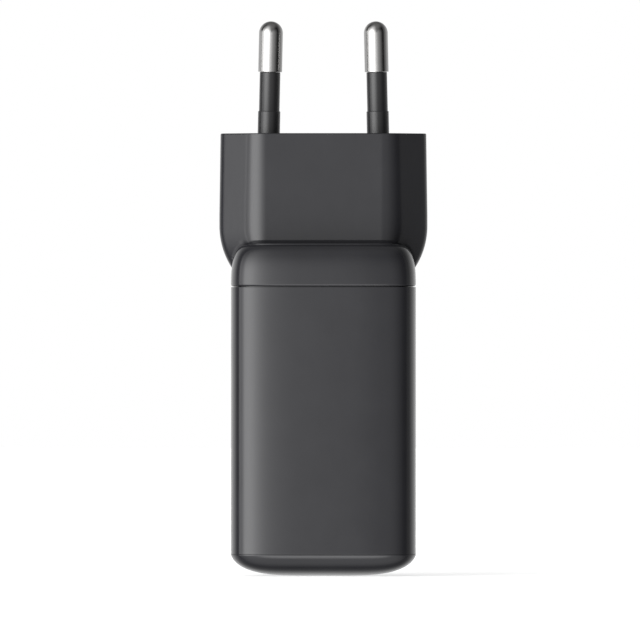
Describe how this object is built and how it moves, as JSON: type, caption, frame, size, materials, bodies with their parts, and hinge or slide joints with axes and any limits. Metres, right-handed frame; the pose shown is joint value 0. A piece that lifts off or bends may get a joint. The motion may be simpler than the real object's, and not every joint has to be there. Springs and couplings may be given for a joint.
{
  "type": "usb wall charger",
  "caption": "Slim dark grey USB wall charger with a fixed Europlug head at the top and USB-C outlets in the rounded bottom end.",
  "frame": {"origin": "centre of the flat port end, on its outer face", "axes": "+Z along the housing towards the tips of the plug pins, +X to the right along the plug head's width, -Y to the front"},
  "size_m": [0.0354, 0.0284, 0.0943],
  "materials": {
    "housing_plastic": "satin",
    "pin_nickel": "polished",
    "pin_insulation": "satin",
    "carrier_plastic": "matte",
    "fuse_ceramic": "satin",
    "contact_brass": "satin",
    "wire_brown": "satin",
    "wire_blue": "satin",
    "board_laminate": "satin",
    "chip_epoxy": "matte",
    "ferrite": "matte",
    "winding_copper": "satin",
    "transformer_tape": "satin",
    "capacitor_film": "satin",
    "disc_ceramic": "satin",
    "thermistor_coating": "satin",
    "capacitor_can": "gloss",
    "polymer_can": "satin",
    "insulating_paper": "matte",
    "spreader_aluminium": "satin",
    "thermal_silicone": "matte",
    "port_steel": "satin",
    "port_insulator": "satin"
  },
  "bodies": {
    "root": {"housing_sleeve": "housing_plastic", "port_panel": "housing_plastic", "plug_cap": "housing_plastic", "pin_left": "pin_nickel", "pin_right": "pin_nickel", "pin_sleeve_left": "pin_insulation", "pin_sleeve_right": "pin_insulation", "pin_carrier": "carrier_plastic", "transformer_bobbin": "carrier_plastic", "input_fuse": "fuse_ceramic", "contact_strip_left": "contact_brass", "contact_strip_right": "contact_brass", "lead_wire_left": "wire_brown", "lead_wire_right": "wire_blue", "main_board": "board_laminate", "port_board": "board_laminate", "bridge_rectifier": "chip_epoxy", "power_switch": "chip_epoxy", "control_chip": "chip_epoxy", "optocoupler": "chip_epoxy", "rectifier_chip": "chip_epoxy", "port_controller": "chip_epoxy", "choke_core": "ferrite", "transformer_core_upper": "ferrite", "transformer_core_lower": "ferrite", "output_choke": "ferrite", "choke_winding_left": "winding_copper", "choke_winding_right": "winding_copper", "transformer_winding": "transformer_tape", "x_capacitor": "capacitor_film", "varistor": "disc_ceramic", "y_capacitor": "disc_ceramic", "inrush_thermistor": "thermistor_coating", "bulk_capacitor_front": "capacitor_can", "bulk_capacitor_rear": "capacitor_can", "output_capacitor_left": "polymer_can", "output_capacitor_right": "polymer_can", "insulation_sheet": "insulating_paper", "heat_spreader_front": "spreader_aluminium", "heat_spreader_rear": "spreader_aluminium", "thermal_pad_front": "thermal_silicone", "thermal_pad_rear": "thermal_silicone", "port_shell_front": "port_steel", "port_shell_rear": "port_steel", "port_tongue_front": "port_insulator", "port_tongue_rear": "port_insulator", "board_header": "port_insulator"}
  },
  "joints": []
}
